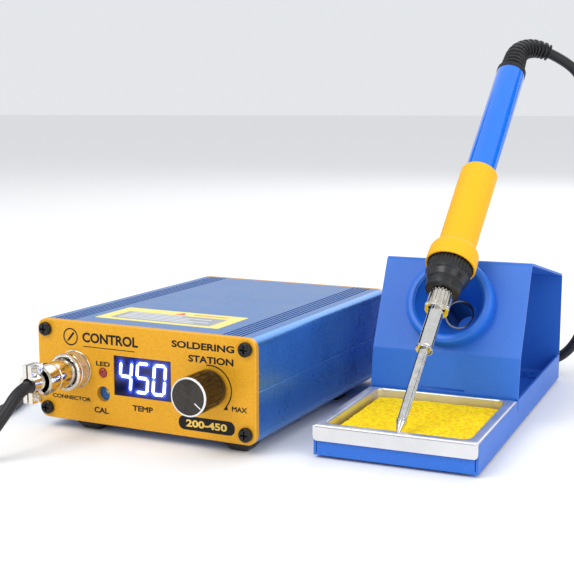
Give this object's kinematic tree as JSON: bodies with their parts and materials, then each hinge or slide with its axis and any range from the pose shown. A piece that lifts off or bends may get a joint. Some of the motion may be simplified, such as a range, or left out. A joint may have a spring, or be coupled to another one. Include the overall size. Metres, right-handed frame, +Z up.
{
  "type": "soldering iron station",
  "caption": "Bench soldering station: control unit with display, knob and round connector, an iron on its cord, and a sheet-metal stand with holder ring and sponge tray.",
  "frame": {"origin": "on the table, under the middle of the box round the station without its cord and plug", "axes": "+Z up, -Y out of the control unit's front panel, +X towards the stand, which is on the unit's right as seen from the front"},
  "size_m": [0.3123, 0.324, 0.2012],
  "materials": {
    "case_blue": "blue anodised extrusion, satin",
    "panel_gold": "amber anodised, fine blasted grain",
    "screw_black": "blackened screw",
    "foot_rubber": "matt rubber",
    "display_blue": "dark blue display window",
    "black_plastic": "moulded, matt",
    "led_red": "clear red dome",
    "trimmer_blue": "moulded blue",
    "brass": "turned",
    "nickel": "nickel plated",
    "steel": "turned and brushed steel",
    "knob_metal": "turned aluminium, fluted",
    "board_green": "glass epoxy board",
    "transformer_iron": "varnished laminations",
    "heat_sink_black": "black anodised",
    "stand_blue": "powder coat, fine texture",
    "holder_blue": "moulded, satin",
    "tray_metal": "bright sheet",
    "sponge_yellow": "open cell sponge",
    "tip_plating": "plated copper",
    "grip_yellow": "soft moulded grip",
    "handle_blue": "glossy moulding",
    "cord_black": "soft silicone jacket"
  },
  "bodies": {
    "root": {"board_fuse": "transformer_iron", "case_lower": "case_blue", "case_upper": "case_blue", "clamp_saddle": "nickel", "clamp_screws": "nickel", "coil_tie": "cord_black", "control_board": "board_green", "cord_clamp": "nickel", "cord_coil": "cord_black", "cord_lead": "cord_black", "cord_tail": "cord_black", "display_module": "black_plastic", "display_window": "display_blue", "filter_capacitors": "transformer_iron", "front_panel": "panel_gold", "front_screws": "screw_black", "heat_sink": "heat_sink_black", "holder_bracket": "stand_blue", "holder_liner": "steel", "holder_nut": "black_plastic", "holder_ring": "holder_blue", "inlet_body": "black_plastic", "inlet_pins": "brass", "inlet_screws": "nickel", "plug_shell": "nickel", "pot_nut": "nickel", "pot_washer": "nickel", "potentiometer": "steel", "power_board": "board_green", "rear_panel": "panel_gold", "rear_screws": "screw_black", "socket_body": "nickel", "socket_insert": "black_plastic", "socket_nut": "nickel", "socket_pins": "brass", "sponge": "sponge_yellow", "sponge_tray": "tray_metal", "stand_base": "stand_blue", "stand_pads": "foot_rubber", "stand_screws": "nickel", "status_led": "led_red", "switch_frame": "black_plastic", "transformer": "transformer_iron", "trimmer_body": "trimmer_blue", "unit_feet": "foot_rubber"},
    "knob": {"knob_shell": "knob_metal", "knob_hub": "black_plastic", "knob_grub_screw": "steel", "pot_shaft": "steel"},
    "trimmer": {"trimmer_rotor": "brass"},
    "coupling": {"coupling_ring": "nickel"},
    "rocker": {"rocker": "black_plastic"},
    "iron": {"tip": "tip_plating", "barrel_sleeve": "steel", "heater_socket": "steel", "grip_sleeve": "grip_yellow", "handle_tube": "handle_blue", "strain_relief": "cord_black"},
    "barrel_nut": {"barrel_nut": "steel"},
    "collar_nut": {"collar_nut": "black_plastic"}
  },
  "joints": [
    {"name": "knob_turn", "type": "hinge", "parent": "root", "child": "knob", "pos_m": [-0.01273, -0.11687, 0.0305], "axis": [0, -1, 0], "range_deg": [-8, 262]},
    {"name": "trimmer_turn", "type": "hinge", "parent": "root", "child": "trimmer", "pos_m": [-0.07213, -0.10387, 0.0223], "axis": [0, -1, 0], "range_deg": [-120, 120]},
    {"name": "coupling_turn", "type": "hinge", "parent": "root", "child": "coupling", "pos_m": [-0.08973, -0.11287, 0.032], "axis": [0, -1, 0], "range_deg": [0, 720]},
    {"name": "rocker_tilt", "type": "hinge", "parent": "root", "child": "rocker", "pos_m": [-0.02323, 0.05813, 0.031], "axis": [1, 0, 0], "range_deg": [-18, 0]},
    {"name": "iron_lift", "type": "slide", "parent": "root", "child": "iron", "axis": [0, 0, 1], "range_m": [0, 0.12]},
    {"name": "barrel_nut_turn", "type": "hinge", "parent": "iron", "child": "barrel_nut", "pos_m": [0.07324, -0.02864, 0.06663], "axis": [-0.0045, 0.7313, 0.682], "range_deg": [0, 720]},
    {"name": "collar_nut_turn", "type": "hinge", "parent": "iron", "child": "collar_nut", "pos_m": [0.07316, -0.01621, 0.07823], "axis": [-0.0045, 0.7313, 0.682], "range_deg": [0, 720]}
  ]
}
